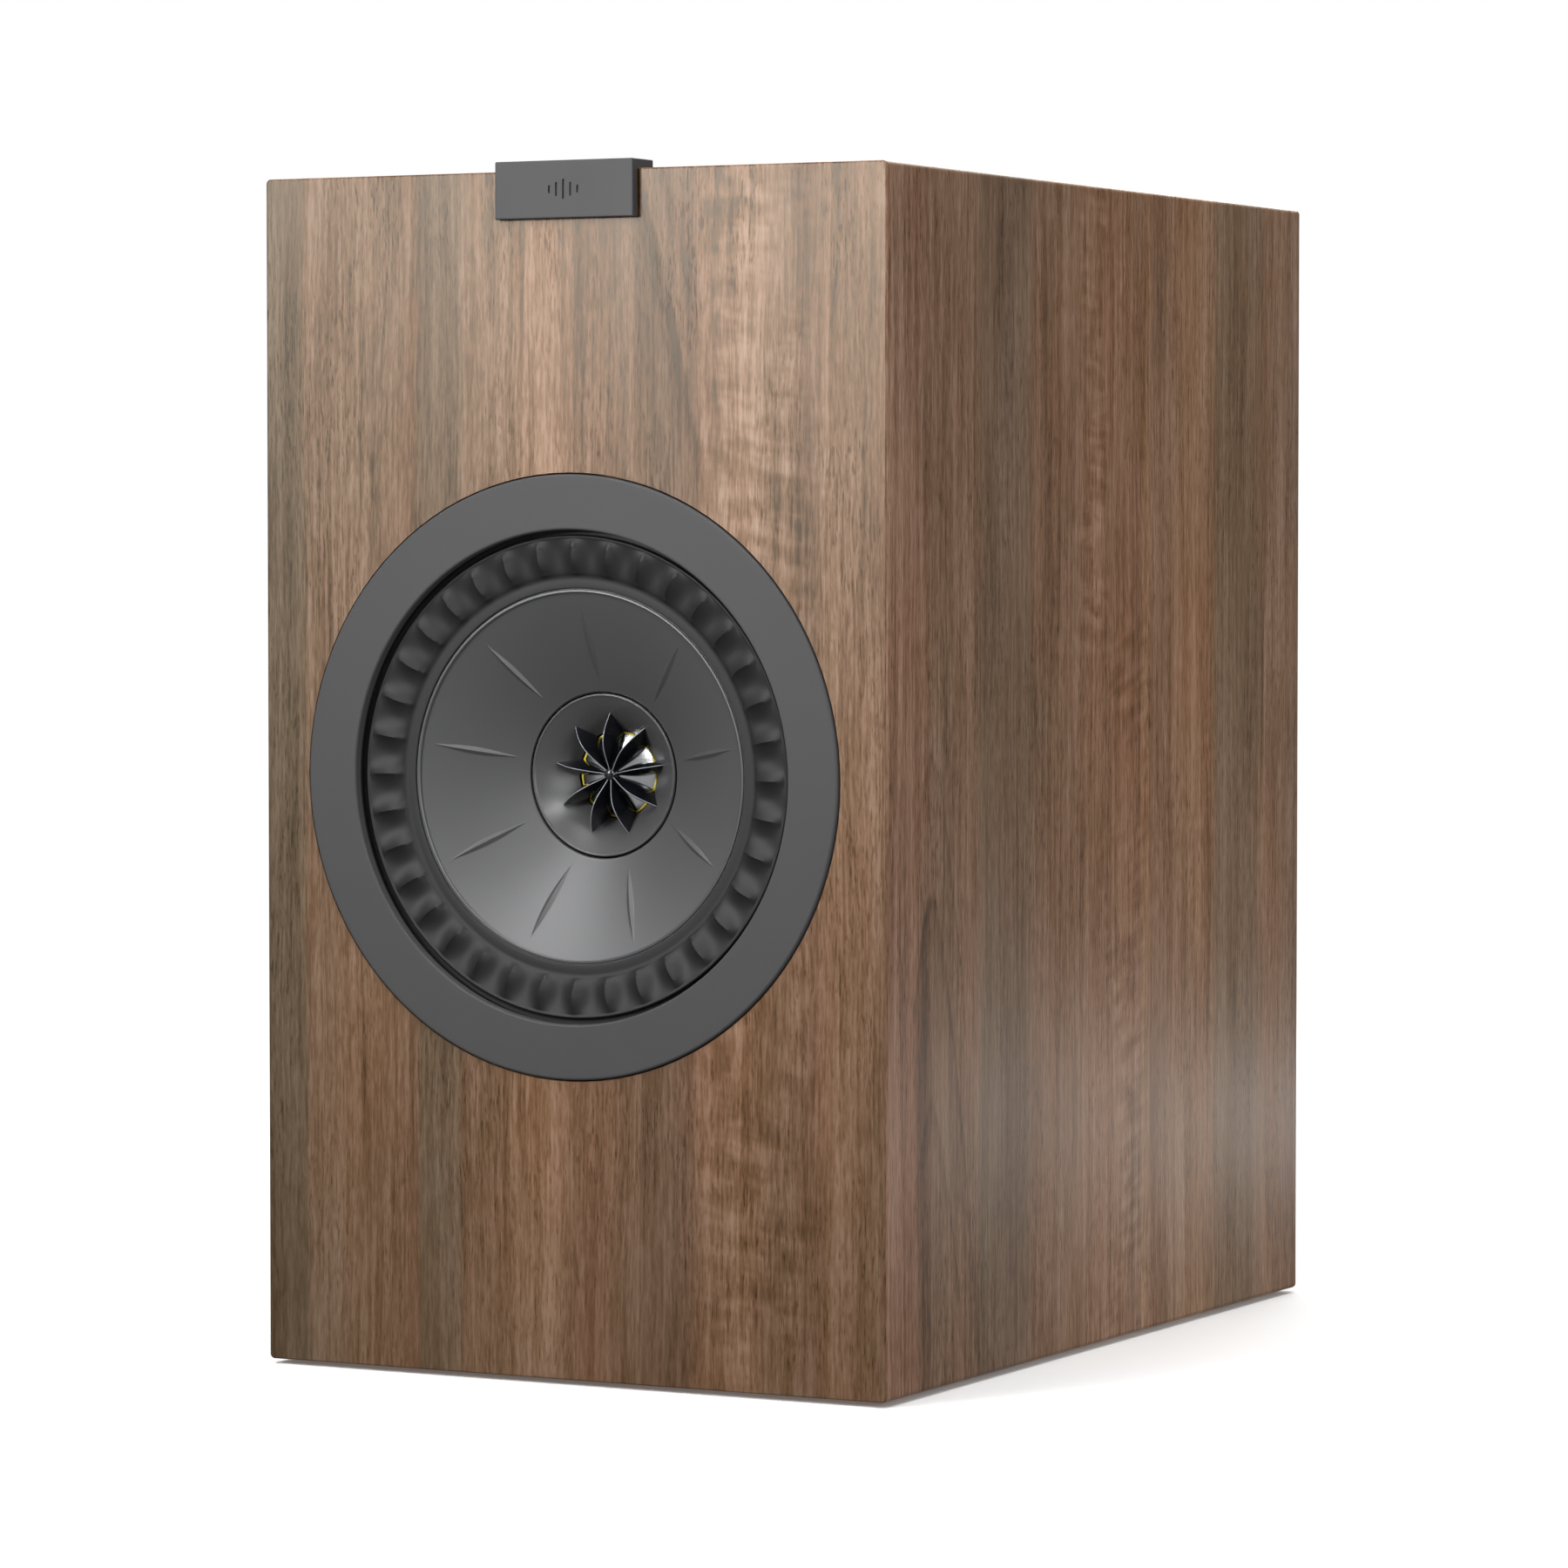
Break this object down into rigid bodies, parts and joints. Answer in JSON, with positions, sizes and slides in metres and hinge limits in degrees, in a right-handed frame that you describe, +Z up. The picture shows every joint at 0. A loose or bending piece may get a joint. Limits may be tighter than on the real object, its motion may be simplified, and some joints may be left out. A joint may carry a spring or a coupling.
{
  "type": "bookshelf speaker",
  "caption": "Bookshelf loudspeaker in a walnut-veneered cabinet, with a coaxial driver, finned horn tweeter, rear port and recessed binding posts.",
  "frame": {"origin": "middle of the footprint, on the surface that the feet stand on", "axes": "+Z up, the driver faces -Y, +X is to the right seen from the front"},
  "size_m": [0.21, 0.3088, 0.3623],
  "materials": {
    "walnut_veneer": "satin lacquered walnut veneer",
    "raw_fibreboard": "raw",
    "wadding": "fluffy",
    "foot_rubber": "matt",
    "badge_grey": "satin grey",
    "ring_grey": "satin dark grey",
    "basket_paint": "black paint",
    "black_screw": "black oxide",
    "surround_rubber": "matt",
    "cone_grey": "satin dark grey anodised",
    "coil_former": "bare",
    "copper": "enamelled",
    "spider_cloth": "resin-stiffened",
    "zinc_steel": "zinc plated",
    "ferrite": "dull",
    "horn_black": "satin gloss black",
    "dome_silver": "satin",
    "edge_gold": "satin gold-coloured",
    "black_plastic": "moulded",
    "post_plating": "gold plated",
    "knob_red": "gloss",
    "knob_black": "gloss",
    "board_green": "solder mask",
    "cement": "cement",
    "lead_red": "insulation",
    "lead_black": "insulation"
  },
  "bodies": {
    "cabinet": {"acoustic_wadding": "wadding", "badge": "badge_grey", "binding_post_nuts": "zinc_steel", "binding_post_studs": "post_plating", "black_leads": "lead_black", "board_standoffs": "black_plastic", "bottom_panel": "walnut_veneer", "cabinet_brace": "raw_fibreboard", "capacitors": "black_plastic", "crossover_board": "board_green", "driver_basket": "basket_paint", "driver_gasket": "foot_rubber", "driver_screws": "black_screw", "driver_tag_strip": "black_plastic", "driver_tags": "post_plating", "ferrite_magnet": "ferrite", "front_baffle": "walnut_veneer", "grille_magnets": "ferrite", "inductor_bobbins": "black_plastic", "inductor_windings": "copper", "left_side_panel": "walnut_veneer", "motor_top_plate": "zinc_steel", "motor_yoke": "zinc_steel", "port_flare": "black_plastic", "port_tube": "black_plastic", "post_base_collars": "black_plastic", "rear_panel": "walnut_veneer", "red_leads": "lead_red", "resistors": "cement", "right_side_panel": "walnut_veneer", "rubber_feet": "foot_rubber", "solder_tags": "post_plating", "spider": "spider_cloth", "surround": "surround_rubber", "terminal_cup": "black_plastic", "terminal_gasket": "foot_rubber", "terminal_screws": "black_screw", "tinsel_leads": "copper", "top_panel": "walnut_veneer", "trim_ring": "ring_grey", "tweeter_chassis": "horn_black", "tweeter_cup": "zinc_steel", "tweeter_magnet": "ferrite", "tweeter_pole_tip": "zinc_steel", "tweeter_rear_tube": "horn_black", "tweeter_surround": "surround_rubber", "tweeter_waveguide": "horn_black", "waveguide_fins": "horn_black"},
    "woofer_cone": {"cone": "cone_grey", "voice_coil_former": "coil_former", "voice_coil_winding": "copper"},
    "tweeter_diaphragm": {"tweeter_dome": "dome_silver", "dome_edge_ring": "edge_gold", "tweeter_voice_coil": "copper"},
    "red_washer": {"red_clamp_washer": "post_plating"},
    "red_terminal_knob": {"red_knob": "knob_red", "red_knob_insert": "post_plating"},
    "black_washer": {"black_clamp_washer": "post_plating"},
    "black_terminal_knob": {"black_knob": "knob_black", "black_knob_insert": "post_plating"}
  },
  "joints": [
    {"name": "woofer_travel", "type": "slide", "parent": "cabinet", "child": "woofer_cone", "axis": [0, -1, 0], "range_m": [-0.005, 0.005], "stiffness_N_per_m": 1100, "deforming": ["surround", "spider", "tinsel_leads"]},
    {"name": "tweeter_travel", "type": "slide", "parent": "cabinet", "child": "tweeter_diaphragm", "axis": [0, -1, 0], "range_m": [-0.0004, 0.0004], "stiffness_N_per_m": 6000, "deforming": ["tweeter_surround"]},
    {"name": "red_washer_travel", "type": "slide", "parent": "cabinet", "child": "red_washer", "axis": [0, 1, 0], "range_m": [0, 0.006]},
    {"name": "red_knob_turn", "type": "hinge", "parent": "red_washer", "child": "red_terminal_knob", "pos_m": [-0.019, 0.14, 0.0835], "axis": [0, 1, 0], "range_deg": [0, 2160]},
    {"name": "black_washer_travel", "type": "slide", "parent": "cabinet", "child": "black_washer", "axis": [0, 1, 0], "range_m": [0, 0.006]},
    {"name": "black_knob_turn", "type": "hinge", "parent": "black_washer", "child": "black_terminal_knob", "pos_m": [0.019, 0.14, 0.0835], "axis": [0, 1, 0], "range_deg": [0, 2160]}
  ],
  "couplings": [
    {"joint": "red_washer_travel", "follows": "red_knob_turn", "m_per_rad": 0.00015915},
    {"joint": "black_washer_travel", "follows": "black_knob_turn", "m_per_rad": 0.00015915}
  ]
}
